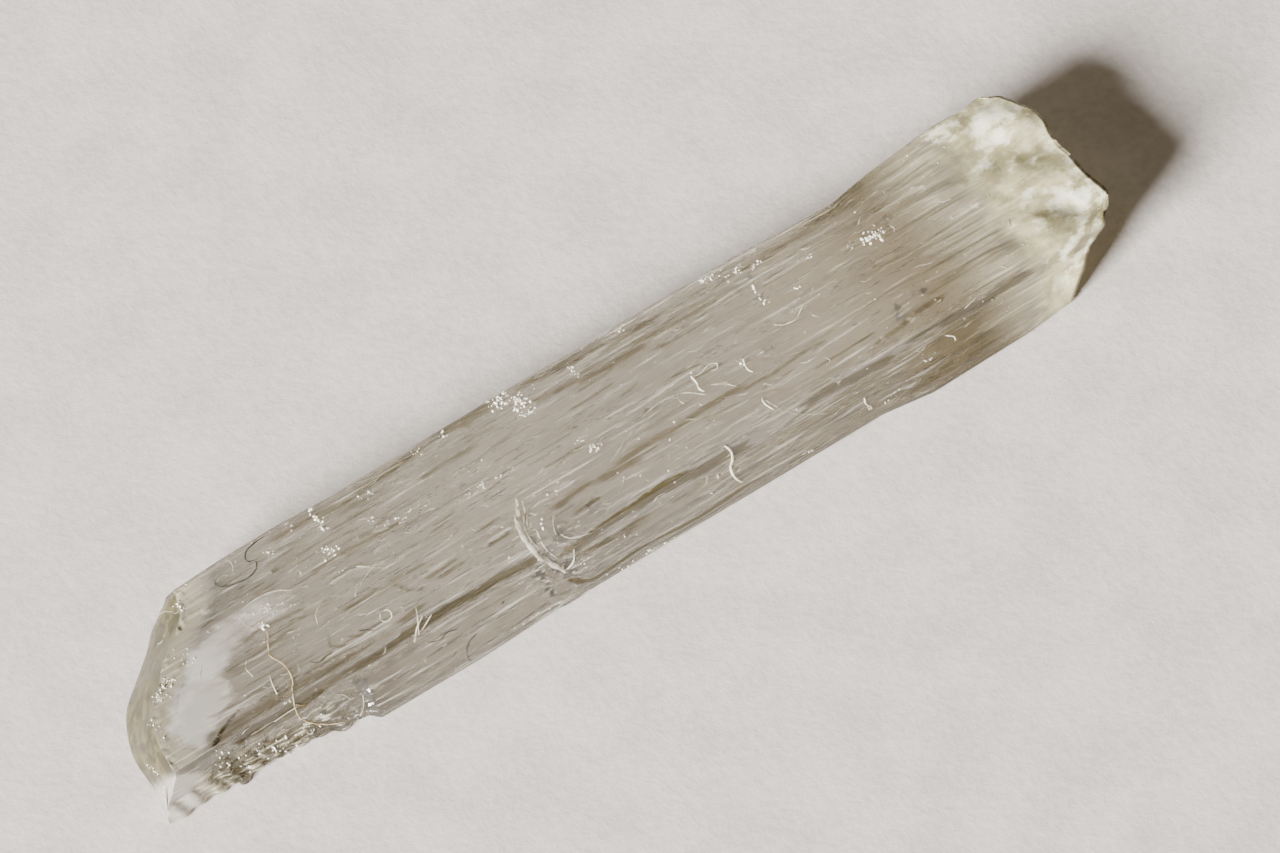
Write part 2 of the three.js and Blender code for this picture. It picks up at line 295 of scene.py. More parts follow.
# White blooms of the frosted end, their brightest places painted highlights and a painted glow of light led
# through the crystal.
FROSTS_AND_HIGHLIGHTS = [
    (0.2, 1.0, [(4.98, 1.07), (5.08, 1.07)]),
    (0.17, 0.9, [(5.2, 1.09), (5.33, 1.08)]),
    (0.24, 1.0, [(5.36, 0.88), (5.56, 0.95), (5.72, 0.86)]),
    (0.19, 1.0, [(5.34, 0.72), (5.45, 0.66), (5.57, 0.73)]),
    (0.17, 0.7, [(5.14, 0.48), (5.2, 0.48)]),
    (0.16, 0.7, [(5.36, 0.36), (5.42, 0.36)]),
    (0.08, 0.8, [(5.58, 0.21), (5.63, 0.21)]),
    (0.13, 0.7, [(5.7, 1.02), (5.87, 0.83), (5.9, 0.63), (5.89, 0.35), (5.9, 0.06), (5.92, -0.16),
                 (5.97, -0.43)]),
    (0.22, 1.0, [(5.58, -0.29), (5.74, -0.36), (5.85, -0.38)]),
    (0.2, 0.9, [(5.49, -0.44), (5.64, -0.54)]),
    (0.09, 0.7, [(5.36, -0.06), (5.21, -0.2)]),
    (0.18, 0.5, [(5.24, -0.51), (5.2, -0.4)]),
    (0.1, 1.0, [(5.16, -0.91), (5.38, -0.77)]),
    (0.07, 0.9, [(5.41, -0.78), (5.6, -0.68), (5.79, -0.54)]),
    (0.09, 1.0, [(4.98, -0.9), (5.0, -0.9)]),
    (0.12, 0.7, [(4.9, -1.2), (5.11, -1.11), (5.39, -0.98)]),
    (0.08, 0.6, [(5.39, -0.98), (5.71, -0.74), (6.0, -0.5)]),
    (0.06, 0.7, [(4.75, 0.1), (4.79, 0.1)]),
    (0.06, 0.6, [(4.58, -0.25), (4.62, -0.25)]),
    (0.06, 0.6, [(4.96, -0.33), (5.0, -0.33)]),
    (0.06, 0.6, [(5.15, 0.03), (5.2, 0.05)]),
    (0.1, 0.7, [(2.75, -0.7), (3.05, -0.68)]),
    (0.08, 0.7, [(3.36, -0.65), (3.47, -0.64)]),
]
# Thinner olive marks everywhere: how many, and the range of their lengths, half widths and strengths.
HAIR_VEINS = (190, (0.15, 1.6), (0.012, 0.034), (0.25, 0.75))

# Lint on the crystal, drawn on the top's level and laid down the same slant, as radius and points.
PALE_LINT = [
    (0.016, [(0.96, -0.81), (0.98, -0.89), (0.93, -0.99), (0.85, -1.07), (0.82, -1.19), (0.85, -1.28)]),
    (0.015, [(1.19, 0.09), (1.19, -0.02), (1.17, -0.1), (1.2, -0.15)]),
    (0.007, [(1.2, 0.07), (1.3, 0.06), (1.42, 0.1), (1.5, 0.06), (1.46, 0.0), (1.4, 0.02)]),
    (0.012, [(1.75, -0.04), (1.71, -0.19), (1.74, -0.24)]),
    (0.011, [(1.62, -0.56), (1.6, -0.64), (1.63, -0.74)]),
    (0.007, [(-4.42, -0.42), (-4.46, -0.52), (-4.5, -0.66)]),
    (0.006, [(-3.11, -0.51), (-3.06, -0.45), (-2.98, -0.47), (-3, -0.55), (-3.08, -0.57), (-3.12, -0.53)]),
    (0.006, [(-3.55, -0.03), (-3.62, -0.1), (-3.67, -0.2)]),
    (0.008, [(2.25, 0.11), (2.35, 0.05), (2.47, 0.03), (2.57, 0.09), (2.64, 0.14)]),
    (0.01, [(2.47, -1.16), (2.44, -1.23), (2.46, -1.3)]),
    (0.009, [(3.6, -1.02), (3.66, -1.08), (3.64, -1.13)]),
]
# Soft translucent lint, partly sunk into the salt.
SOFT_LINT = [
    (0.03, [(-1.15, -0.13), (-1.22, -0.25), (-1.3, -0.35), (-1.36, -0.53), (-1.37, -0.71), (-1.34, -0.88),
            (-1.28, -1.05), (-1.26, -1.13)]),
    (0.014, [(-1.1, -0.16), (-1.16, -0.3), (-1.26, -0.42), (-1.31, -0.6), (-1.31, -0.75)]),
    (0.012, [(-1.02, -0.95), (-1.12, -1.08), (-1.24, -1.12)]),
    (0.01, [(-1.24, -0.46), (-1.15, -0.34), (-0.97, -0.28), (-0.85, -0.3)]),
    (0.01, [(-1.03, -0.72), (-0.96, -0.83), (-0.77, -0.89)]),
    (0.008, [(-1.2, -0.56), (-1.25, -0.76), (-1.22, -0.96)]),
    (0.008, [(-0.95, -0.5), (-1.02, -0.6), (-1.08, -0.75)]),
    (0.009, [(-3.01, -0.95), (-2.89, -0.82), (-2.74, -0.72)]),
    (0.008, [(-2.92, -0.9), (-2.79, -0.7), (-2.74, -0.61)]),
    (0.008, [(-2.98, -0.86), (-2.86, -0.86), (-2.66, -0.76)]),
    (0.009, [(-2.94, 0.16), (-2.83, 0.07), (-2.72, -0.01)]),
    (0.008, [(-2.74, 0.08), (-2.9, 0.02), (-3.1, -0.08), (-3.16, -0.14)]),
    (0.007, [(1.62, -0.55), (1.68, -0.74), (1.8, -0.92), (2.05, -1.1)]),
    (0.008, [(-3.98, -1.36), (-3.88, -1.28), (-3.8, -1.16)]),
    (0.007, [(-0.09, -0.52), (-0.15, -0.6), (-0.24, -0.66)]),
    (0.007, [(-0.09, -0.3), (0.14, -0.2), (0.44, -0.06), (0.72, 0.01), (0.99, -0.03), (1.19, -0.2)]),
    (0.006, [(-0.04, -0.34), (0.26, -0.19), (0.54, -0.09), (0.77, -0.06)]),
    (0.006, [(1.3, -0.12), (1.42, -0.2), (1.5, -0.3)]),
    (0.009, [(-4.3, 0.36), (-4.05, 0.42), (-3.8, 0.4), (-3.64, 0.3)]),
    (0.008, [(-5.0, -0.9), (-4.7, -0.9), (-4.42, -0.89)]),
    (0.007, [(-3.55, 0.5), (-3.42, 0.52), (-3.36, 0.6)]),
]
AMBER_LINT = [
    (0.0085, [(-4.13, 0.06), (-4.16, -0.02), (-4.24, -0.14), (-4.28, -0.23), (-4.25, -0.32), (-4.23, -0.43),
              (-4.26, -0.58), (-4.34, -0.7), (-4.42, -0.83), (-4.46, -0.92), (-4.48, -1.01),
              (-4.44, -1.12), (-4.36, -1.21), (-4.23, -1.29), (-4.1, -1.34)]),
    (0.007, [(-4.43, -0.84), (-4.38, -0.9), (-4.3, -0.93)]),
]
DARK_HAIRS = [
    (0.01, [(-4.2, 0.86), (-4.22, 0.8), (-4.18, 0.73), (-4.07, 0.7), (-3.91, 0.68), (-3.79, 0.72),
            (-3.73, 0.79), (-3.78, 0.84), (-3.8, 0.89), (-3.73, 0.96), (-3.62, 0.99), (-3.48, 1.0)]),
    (0.01, [(-2.69, -1.46), (-2.66, -1.36), (-2.55, -1.26), (-2.44, -1.23)]),
    (0.007, [(-2.9, -1.03), (-2.78, -1.07), (-2.67, -1.04), (-2.56, -1.07)]),
    (0.012, [(-5.39, -0.8), (-5.35, -0.78), (-5.29, -0.76)]),
    (0.012, [(-5.12, -1.08), (-5.14, -1.13), (-5.12, -1.17)]),
    (0.01, [(-4.98, -1.08), (-5.0, -1.13)]),
    (0.009, [(-2.02, -1.08), (-1.97, -1.06)]),
    (0.009, [(-1.05, -0.005), (-1.04, 0.005)]),
    (0.007, [(-4.0, -0.52), (-3.94, -0.57), (-3.84, -0.56)]),
    (0.007, [(-3.38, -0.5), (-3.3, -0.54), (-3.25, -0.6)]),
]
# Fine pale fuzz all over: how many, their range of lengths, and their radii.
FUZZ = (240, (0.04, 0.2), (0.003, 0.0055))

# Crumbs of salt in groups, as (x, y, reach along, reach across, how many, largest radius).
CRUMB_GROUPS = [
    (-4.1, 0.11, 0.05, 0.03, 12, 0.028), (-4.47, -0.8, 0.03, 0.015, 5, 0.019),
    (-2.92, 0.84, 0.025, 0.16, 24, 0.027), (-3.05, 0.45, 0.08, 0.08, 21, 0.022),
    (-3.44, 0.44, 0.02, 0.05, 5, 0.013), (-3.55, 0.81, 0.05, 0.04, 8, 0.015),
    (-3.19, 0.96, 0.04, 0.05, 6, 0.013), (-2.32, 0.83, 0.09, 0.04, 10, 0.015),
    (-2.5, 0.5, 0.08, 0.06, 10, 0.013), (-2.27, 0.39, 0.12, 0.03, 12, 0.015),
    (-3.09, 0.21, 0.05, 0.02, 5, 0.013), (-3.85, 0.25, 0.22, 0.12, 34, 0.013),
    (-0.58, 0.97, 0.12, 0.07, 40, 0.024), (-0.42, 0.86, 0.09, 0.08, 34, 0.025),
    (-0.42, 0.7, 0.1, 0.06, 20, 0.022), (0.26, 0.86, 0.04, 0.12, 16, 0.015),
    (-1.3, 0.97, 0.04, 0.04, 6, 0.018), (-1.6, 0.94, 0.06, 0.05, 8, 0.015),
    (-1.35, 0.21, 0.3, 0.04, 29, 0.013), (-1, 0.22, 0.12, 0.03, 12, 0.013),
    (-0.12, -0.06, 0.07, 0.05, 13, 0.022), (-0.2, 0.1, 0.05, 0.04, 6, 0.013),
    (0.95, 0.97, 0.1, 0.03, 8, 0.018), (2, 0.97, 0.14, 0.04, 16, 0.019),
    (2.28, 0.88, 0.1, 0.05, 10, 0.018), (2.55, 0.82, 0.08, 0.03, 9, 0.019),
    (2.35, 0.5, 0.03, 0.11, 12, 0.022), (3, 0.6, 0.1, 0.03, 9, 0.015),
    (2.71, 0.34, 0.04, 0.04, 5, 0.019), (3.72, 0.42, 0.12, 0.08, 40, 0.026),
    (3.49, 0.46, 0.04, 0.04, 6, 0.019), (3.28, -0.17, 0.04, 0.07, 6, 0.011),
    (1.73, -0.08, 0.04, 0.06, 8, 0.018), (-2, 0.4, 0.3, 0.04, 18, 0.011),
    (-1.3, 0.42, 0.15, 0.03, 8, 0.011), (-4.9, -1.2, 0.3, 0.09, 24, 0.017),
    (-4.5, -1.15, 0.12, 0.09, 10, 0.012), (-5.4, -1, 0.14, 0.13, 16, 0.017),
    (-3.95, -1.3, 0.14, 0.07, 10, 0.01), (-5.1, -1.08, 0.12, 0.06, 7, 0.015),
    (-4.66, 0.79, 0.03, 0.09, 10, 0.018), (-5.33, 0.12, 0.1, 0.06, 16, 0.018),
    (-5.5, 0, 0.1, 0.06, 12, 0.015), (-5.75, -0.25, 0.05, 0.12, 10, 0.013),
    (-6.05, -0.68, 0.05, 0.07, 9, 0.015), (-0.55, -1.43, 0.35, 0.02, 21, 0.013),
    (-1.9, -1.39, 0.3, 0.02, 13, 0.011), (-1.05, -1.2, 0.1, 0.08, 8, 0.011),
    (2.6, -1.3, 0.25, 0.03, 12, 0.015), (1.6, -1.37, 0.12, 0.02, 6, 0.013),
    (-0.5, -1.15, 0.1, 0.04, 6, 0.011), (3.26, -1.15, 0.06, 0.04, 5, 0.015),
    (-5, 0.25, 0.12, 0.08, 13, 0.013), (-4.3, 0.36, 0.3, 0.04, 13, 0.01),
]
# Single bright chips, white crumbs that also stand in for glints as painted highlights, as (x, y, radius).
CHIPS_AND_GLINTS = [
    (-0.85, -0.26, 0.02), (-0.67, -0.19, 0.015), (-0.75, -0.27, 0.011), (-0.77, -0.31, 0.012),
    (-1.11, -0.51, 0.018), (-1.07, -0.47, 0.016), (-1.13, -0.57, 0.02), (-1.38, -0.65, 0.012),
    (-1.62, -0.66, 0.018), (0.72, -0.28, 0.024), (0.56, -0.43, 0.02), (0.05, -0.62, 0.018),
    (-0.09, -0.54, 0.014), (0.64, -0.61, 0.016), (0.51, -1.21, 0.02), (0.69, -1.08, 0.022),
    (0.29, -0.88, 0.016), (-0.05, 0.17, 0.013), (-5.38, 0.09, 0.022), (-5.31, 0.05, 0.018),
    (-5.44, 0.05, 0.018), (-4.67, 0.84, 0.02), (-4.74, -1.13, 0.022), (-5.73, -0.42, 0.014),
    (-4.92, -1.16, 0.024), (-5.36, -0.9, 0.026),
]
# Crumbs strewn everywhere: how many, and their largest radius.
STREWN_CRUMBS = (330, 0.01)

# The crack across the near edge: its middle, its reach, and the spacing and height of its ripples.
CRACK_MIDDLE = (-1.12, -0.78)
CRACK_REACH = 0.42
CRACK_RIPPLE = (0.17, 0.016)


def drawer(seed):
    """Repeatable draws between 0 and 1."""
    state = [seed]

    def draw():
        state[0] = (state[0] * 16807) % 2147483647
        return state[0] / 2147483647

    return draw


def mix(a, b, share):
    return a + (b - a) * share


def ramp(value, start, end):
    """Smooth rise from 0 at start to 1 at end."""
    share = np.clip((value - start) / (end - start), 0, 1)
    return share * share * (3 - 2 * share)


def along(stops, where):
    """Straight-line reading of a list of (where, value) stops."""
    return np.interp(where, [s[0] for s in stops], [s[1] for s in stops])


def face_ends(face):
    """The two corners of the section that bound one face."""
    return np.array(SECTION[face][:2]), np.array(SECTION[(face + 1) % len(SECTION)][:2])


def face_length(face):
    """How far it is across one face of the prism."""
    start, end = face_ends(face)
    return float(np.hypot(*(end - start)))


def section_points():
    """Points round the section with their face, distance across it and outward direction."""
    place, face_of, across, outward = [], [], [], []
    for face, (_, _, width) in enumerate(SECTION):
        start, end = face_ends(face)
        length = face_length(face)
        count = max(2, round(length / width))
        for k in range(count):
            place.append(mix(start, end, k / count))
            face_of.append(face)
            across.append(length * k / count)
            outward.append(((end[1] - start[1]) / length, (start[0] - end[0]) / length))
    outward = np.array(outward)
    corner = np.array(across) == 0
    blended = outward + np.roll(outward, 1, axis=0)
    blended /= np.hypot(blended[:, 0], blended[:, 1])[:, None]
    outward[corner] = blended[corner]
    return np.array(place), np.array(face_of), np.array(across), outward


def plate_height(plates, draw, x, across, relief_edge):
    """Height of one set of lens-shaped plates at places on their face."""
    height = np.zeros_like(x)
    span = face_length(plates.face)
    for _ in range(plates.count):
        middle_x = mix(NEAR_TIP, FAR_TIP, draw())
        middle = span * draw()
        length = mix(*plates.length, draw())
        width = mix(*plates.width, draw())
        rise = mix(*plates.rise, draw()) * (-1 if draw() < plates.sunk else 1)
        lengthwise = np.abs(x - middle_x) / length
        half_width = width * np.clip(1 - lengthwise, 0, 1) ** 0.35
        inside = np.clip((half_width - np.abs(across - middle)) / relief_edge + 0.5, 0, 1)
        height += rise * inside * (lengthwise < 1)
    return height


def softly_along(stops, where, reach=0.08):
    """The same reading with its corners rounded off."""
    return (along(stops, where - reach) + along(stops, where) + along(stops, where + reach)) / 3


def near_end(y, z):
    """Where the slanting end lies in x."""
    height = np.clip(z / THICKNESS, 0, 1)
    bulge = 0.05 * np.sin(np.pi * height)
    return mix(softly_along(NEAR_END_FOOT, y), softly_along(NEAR_END_TOP, y), height) - bulge


def far_end(y, z):
    """Where the overhanging end lies in x."""
    height = np.clip(z / THICKNESS, 0, 1) ** 0.8
    return mix(along(FAR_END_FOOT, y), along(FAR_END_TOP, y), height)


def lump(x, y, z):
    """Smooth lumps, the same everywhere for the same place."""
    coarse = np.sin(4.1 * x + 2.3 * y + 1.3) * np.sin(5.3 * y - 2.9 * z) * np.sin(4.7 * z + 1.9 * x)
    fine = np.sin(11 * x - 7 * z) * np.sin(12.5 * y + 3 * x) * np.sin(9.5 * z + 2)
    return coarse + 0.5 * fine


def rubble(points, scale, seed):
    """Fine displacement for rough places, the same each time for the same seed above 0."""
    noise.seed_set(seed)
    offset = Vector((seed, 0, 0))
    return np.array([noise.noise_vector(Vector(p) * scale + offset)[:] for p in points])


def torn(points, scale, seed):
    """Rubble drawn out lengthwise, as where the salt has split along its growth lines."""
    return rubble(points * (0.3, 1, 1), scale, seed) * (0.4, 1, 1)


def roughen(points, share, layers, shift):
    """Moves the points that have a share in some roughness, one layer after another."""
    where = np.nonzero(share > 0)[0]
    share = share[where][:, None]
    for height, scale, seed in layers:
        points[where] += share * height * shift(points[where], scale, seed)


def near_line(points, x, y):
    """Distance from a line through some points."""
    nearest = np.full(x.shape, np.inf)
    for (ax, ay), (bx, by) in zip(points, points[1:]):
        share = ((x - ax) * (bx - ax) + (y - ay) * (by - ay)) / ((bx - ax) ** 2 + (by - ay) ** 2)
        share = np.clip(share, 0, 1)
        nearest = np.minimum(nearest, np.hypot(x - mix(ax, bx, share), y - mix(ay, by, share)))
    return nearest


def depth_inside(outline, x, y):
    """Distance from the edge of an outline, positive inside it."""
    closed = outline + outline[:1]
    inside = np.zeros(x.shape, dtype=bool)
    for (ax, ay), (bx, by) in zip(closed, closed[1:]):
        if ay != by:
            crosses = (ay > y) != (by > y)
            inside ^= crosses & (x < ax + (bx - ax) * (y - ay) / (by - ay))
    nearest = near_line(closed, x, y)
    return np.where(inside, nearest, -nearest)


def hair_veins():
    """Thin veins at random places, more of them towards the far edge."""
    count, lengths, widths, strengths = HAIR_VEINS
    draw = drawer(seed=53)
    veins = []
    for _ in range(count):
        x = mix(-4.6, 4.6, draw() ** 1.2)
        y = mix(-0.7, 0.95, draw() ** 0.8)
        reach = mix(*lengths, draw() ** 2) / 2
        lean = 0.04 * (draw() - 0.5)
        line = [(x - reach, y - lean), (x, y + 0.02 * (draw() - 0.5)), (x + reach, y + lean)]
        veins.append((mix(*widths, draw()), mix(*strengths, draw()), line))
    return veins


def wavy(x, y):
    """Small irregular shifts that fray an outline."""
    return 0.03 * np.sin(13 * x + 5 * y) * np.sin(21 * y - 4 * x) + 0.012 * np.sin(47 * x + 31 * y)


def turned_blank(around):
    """A body of revolution about X, closed at both ends, as a bmesh."""
    near = [(0.0, k / RINGS_NEAR_END) for k in range(RINGS_NEAR_END)]
    side = [(float(station), 1.0) for station in RINGS_ALONG]
    far = [(1.0, k / RINGS_FAR_END) for k in reversed(range(RINGS_FAR_END))]
    blank = bmesh.new()
    verts = [blank.verts.new((station, radius, 0)) for station, radius in near + side + far]
    edges = [blank.edges.new(pair) for pair in zip(verts, verts[1:])]
    bmesh.ops.spin(blank, geom=verts + edges, cent=(0, 0, 0), axis=(1, 0, 0), dvec=(0, 0, 0),
                   angle=2 * math.pi, steps=around, use_merge=True)
    bmesh.ops.remove_doubles(blank, verts=blank.verts, dist=1e-6)
    bmesh.ops.recalc_face_normals(blank, faces=blank.faces)
    return blank


def crystal_shape(blank_places):
    """Moves the blank's points to the crystal's surface, in millimetres."""
    place, face_of, across, outward = section_points()
    count = len(place)
    station = blank_places[:, 0]
    radius = np.hypot(blank_places[:, 1], blank_places[:, 2])
    angle = np.arctan2(blank_places[:, 2], blank_places[:, 1])
    spot = np.round(angle / (2 * np.pi) * count).astype(int) % count
    side = radius > BLANK_EDGE
    face = np.where(side, face_of[spot], -1)

    y = place[spot, 0] * radius
    z = mix(THICKNESS / 2, place[spot, 1], radius)
    x = mix(near_end(y, z), far_end(y, z), station)

    upper = ramp(z, 0.1, STEEP_FOOT_Z)
    low = ramp(-y, 0.7, 0.98) * ramp(STEEP_FOOT_Z - z, 0, 0.35)
    y = y + along(NEAR_EDGE_SHIFT, x) * ramp(-y, 0.35, 0.7) * upper
    y = y + along(NEAR_FOOT_SHIFT, x) * low
    y = y + along(FAR_EDGE_SHIFT, x) * ramp(y, 0.4, 1) * upper

    top = face == TOP_FACE
    clear = ramp(depth_inside(CLEAR_PATCH, x + wavy(x, y), y + wavy(y, x)), -0.14, 0.16) * top
    rise = np.zeros_like(x)
    for seed, sets, edge in ((11, LARGE_PLATES, 0.03), (29, FINE_PLATES, 0.014)):
        draw = drawer(seed)
        for plates in sets:
            on_face = face == plates.face
            rise[on_face] += plate_height(plates, draw, x[on_face], across[spot[on_face]], edge)
    rise = np.clip(rise, *PLATE_HEIGHTS) * ramp(x, *PLATES_START) * (1 - clear)
    rise = rise * (1 - ramp(x, *PLATES_END))
    rise -= SUNK_FACET_DEPTH * ramp(depth_inside(SUNK_FACET, x, y), -0.01, 0.01) * top
    from_crack = np.hypot(x - CRACK_MIDDLE[0], (y - CRACK_MIDDLE[1]) * 0.6)
    ripple = np.cos(2 * np.pi * from_crack / CRACK_RIPPLE[0]) * CRACK_RIPPLE[1]
    rise += ripple * ramp(-from_crack, -CRACK_REACH, -0.05) * (top | (face >= STEEP_FACE))
    y = y + outward[spot, 0] * rise * side
    z = z + outward[spot, 1] * rise * side

    slope = (y < STEEP_Y + 0.001) & (z < STEEP_FOOT_Z + 0.001)
    ragged = along(BREAK, x) * (0.86 + 0.14 * np.sin(17 * x) * np.sin(9 * x + 8 * z)) * slope
    y = mix(y, STEEP_Y, BREAK_INSET * ragged)
    z = z * (1 - BREAK_DEPTH * ragged)

    rough = ramp(x, LUMP_START, LUMP_START + LUMP_GROWTH)
    swell = lump(x, y, z) * LUMP_HEIGHT * rough
    y = y + outward[spot, 0] * swell * side
    z = z + outward[spot, 1] * swell * side * ramp(z, 0, 0.2)
    bulge = np.maximum(swell, 0) * LUMP_BULGE - LIP_UNDERCUT * rough * ramp(1 - radius, 0, 0.12)
    x = x + bulge * ramp(station, 0.97, 1)

    masks = surface_masks(x, y, z, face, clear, station)
    points = np.stack([x, y, z], axis=1)
    roughen(points, ramp(x, FROSTED_START, 5.8), FROSTED_ROUGHNESS, rubble)
    share = ramp(-x, 3.4, 3.8) * ramp(-y, 0.7, 0.8) * (z < 0.6)
    roughen(points, share * (ramp(x, -5.6, -5.3) * 0.7 + 0.3), BROKEN_ROUGHNESS, torn)
    roughen(points, masks["chips"], CHIPPED_ROUGHNESS, rubble)
    points[:, 2] = np.maximum(points[:, 2], 0)
    return points, masks


def slid_up(x, y, z):
    """Where marks drawn on the top's level fall for points at other heights."""
    drop = THICKNESS - z
    return x - MARK_SLANT[0] * drop, y - MARK_SLANT[1] * drop


def drawn(marks, x, y, tails):
    """Strength of a set of marks, 1 in their middle and 0 from their edge on.

    Lengthwise marks run out at both ends in tails so many times longer than their half width.
    """
    strength = np.zeros_like(x)
    sway = 0.012 * np.sin(5 * x)
    for width, most, line in marks:
        (first_x, first_y), (last_x, last_y) = line[0], line[-1]
        lengthwise = last_x - first_x > 3 * abs(last_y - first_y)
        squeeze = 1 / tails if lengthwise else 1
        line = [(point_x * squeeze, point_y) for point_x, point_y in line]
        lens = 1 - near_line(line, x * squeeze, y + sway) / width
        strength = np.maximum(strength, most * np.clip(lens, 0, 1))
    return strength


def surface_masks(x, y, z, face, clear, station):
    """How far each point is clear, marked, frosted, hazy, chipped, or part of the slanting end."""
    side = face >= 0
    seen = side & (face != BOTTOM_FACE) & (face != LOW_FAR_FACE)
    level_x, level_y = slid_up(x, y, z)
    where = np.nonzero(seen)[0]
    drawings = {}
    # The vein marks also carry painted shade for the steep face's dark streak, and the bloom marks carry
    # painted highlights and glow.
    sets = (("vein_and_shade", DARK_VEINS_AND_SHADE, 3), ("olive", OLIVE_MARKS + hair_veins(), 3), ("frost_and_highlight", FROSTS_AND_HIGHLIGHTS, 1))
    for name, marks, tails in sets:
        drawings[name] = np.zeros_like(x)
        drawings[name][where] = drawn(marks, level_x[where], level_y[where], tails)
    chips = ramp(near_end(y, z) - x, -0.16, -0.02) * (z > 0.7) * side
    chips = chips * ramp(np.sin(9 * y + 1) + np.sin(23 * y), -0.9, 0.4)
    white = ramp(depth_inside(WHITE_PATCH, x + 2 * wavy(x, y), y), -0.05, 0.07) * (face == TOP_FACE)
    broken = ramp(-x, 3.6, 4.3) * ramp(x, -5.72, -5.45) * ramp(-y, 0.72, 0.8) * ramp(0.6 - z, 0, 0.1)
    return {
        "clear": clear,
        **drawings,
        "frost": np.where(~side & (station > 0.5), 1, ramp(level_x, 3.5, 4.9) * side),
        "haze": white,
        "pale": ramp(depth_inside(PALE_CORNER, level_x, level_y), -0.03, 0.08) * (station < 0.5),
        "chips": chips,
        "rim": (~side & (station < 0.5)) * ramp(level_y, -0.9, -0.75),
        "broken": broken,
        "flank": (face == FAR_FACE) * 1.0,
        # Painted shade: the clear salt's colour darkens these slopes, more towards the far end, because
        # they face away from the lamp.
        "slope": (face >= SLOPE_FACE) * 1.0,
        "tip": ramp(near_end(y, z) - x, -0.5, -0.2) * (face == TOP_FACE),
        "bevel": ramp(x - far_end(y, z), -0.24, -0.19) * ramp(-y, 0.4, 0.55) * side * (z > 0.5),
    }


def make_crystal():
    """Makes the crystal and returns a way to lay things on it."""
    place, *_ = section_points()
    blank = turned_blank(len(place))
    mesh = bpy.data.meshes.new("crystal_body")
    blank.to_mesh(mesh)
    blank.free()
    places = np.empty(len(mesh.vertices) * 3, dtype=np.float32)
    mesh.vertices.foreach_get("co", places)
    points, masks = crystal_shape(places.reshape(-1, 3).astype(float))
    low, high = (np.array(corner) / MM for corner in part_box("crystal"))
    made_low, made_high = points.min(axis=0), points.max(axis=0)
    fit = np.minimum(1, (high - low) / (made_high - made_low))
    shift = (low + high) / 2 - (made_low + made_high) / 2 * fit
    shift[2] = -made_low[2] * fit[2]
    points = points * fit + shift
    mesh.vertices.foreach_set("co", (points * MM).astype(np.float32).ravel())
    mesh.update()
    for name, mask in masks.items():
        layer = mesh.attributes.new(name, "FLOAT", "POINT")
        layer.data.foreach_set("value", mask.astype(np.float32))
    stations = places[0::3]
    lumpy = mix(low[0], high[0], LUMPY_FROM) * MM
    # The slanting end and the lumps are smooth. The far end's own face stays flat behind its lip.
    mesh.polygons.foreach_set("use_smooth", [
        p.normal.x < SLANT_FACING
        or (p.center.x > lumpy and stations[list(p.vertices)].min() < BLANK_EDGE)
        for p in mesh.polygons])
    body = bpy.data.objects.new("crystal_body", mesh)
    bpy.context.scene.collection.objects.link(body)
    body.data.materials.append(clear_salt())
    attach(body, "root")
    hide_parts("crystal")
    return Laying(body, shift)


# ---------- lint and crumbs ----------

# Things beyond the near foot lie on the floor, at least so high above it.
NEAR_FOOT_Y = -1.2
FLOOR_LIFT = 0.01
# How far lint and crumbs are lifted, as a share of their radius.
STRAND_LIFT = 0.8
CRUMB_LIFT = 0.3
# Crumbs are turned at random up to about a full turn, and their corners move in or out.
CRUMB_TURN = 6.3
CRUMB_UNEVENNESS = (0.65, 1.35)


class Laying:
    """Lays things that are drawn on the top's level onto the crystal, or the floor beside it."""

    def __init__(self, body, shift):
        self.faces = BVHTree.FromObject(body, bpy.context.evaluated_depsgraph_get())
        self.shift = Vector(shift)
        self.down = Vector((*MARK_SLANT, -1)).normalized()

    def rest(self, x, y, lift):
        """Where a thing comes to lie, or nothing if it would miss the crystal and its near foot."""
        level = (Vector((x, y, THICKNESS)) + self.shift) * MM
        place, normal, *_ = self.faces.ray_cast(level - self.down * MM, self.down)
        if place is None and y < NEAR_FOOT_Y:
            place = level - self.down * (level.z / self.down.z)
            normal = Vector((0, 0, 1))
            lift = max(lift, FLOOR_LIFT)
        return place and place + normal * lift * MM


def smooth_path(points, gap=0.02):
    """Closely spaced places along a smooth curve through some points."""
    controls = [np.array(p) for p in [points[0], *points, points[-1]]]
    path = []
    for before, start, end, after in zip(controls, controls[1:], controls[2:], controls[3:]):
        count = max(2, int(np.hypot(*(end - start)) / gap))
        for t in np.arange(count) / count:
            bend = (2 * before - 5 * start + 4 * end - after) * t ** 2
            bend = bend + (3 * start - before - 3 * end + after) * t ** 3
            path.append(start + ((end - before) * t + bend) / 2)
    path.append(controls[-1])
    return path


def make_strands(name, strands, finish, laying):
    """Fine fibres as one mesh, each tapering towards its ends."""
    curve = bpy.data.curves.new(name, "CURVE")
    curve.dimensions = "3D"
    curve.bevel_depth = MM
    curve.bevel_resolution = 1
    curve.use_fill_caps = True
    for radius, points in strands:
        path = [laying.rest(x, y, radius * STRAND_LIFT) for x, y in smooth_path(points)]
        path = [place for place in path if place]
        if len(path) < 3:
            continue
        spline = curve.splines.new("POLY")
        spline.points.add(len(path) - 1)
        for k, (point, place) in enumerate(zip(spline.points, path)):
            from_end = 1 - abs(2 * k / (len(path) - 1) - 1)
            taper = mix(0.4, 1, min(1, from_end * 4))
            ripple = 0.85 + 0.15 * math.sin(k * 0.9)
            point.co = (*place, 1)
            point.radius = radius * taper * ripple
    tubes = bpy.data.objects.new(name, curve)
    mesh = bpy.data.meshes.new_from_object(tubes)
    bpy.data.objects.remove(tubes)
    add_piece(name, mesh, finish)


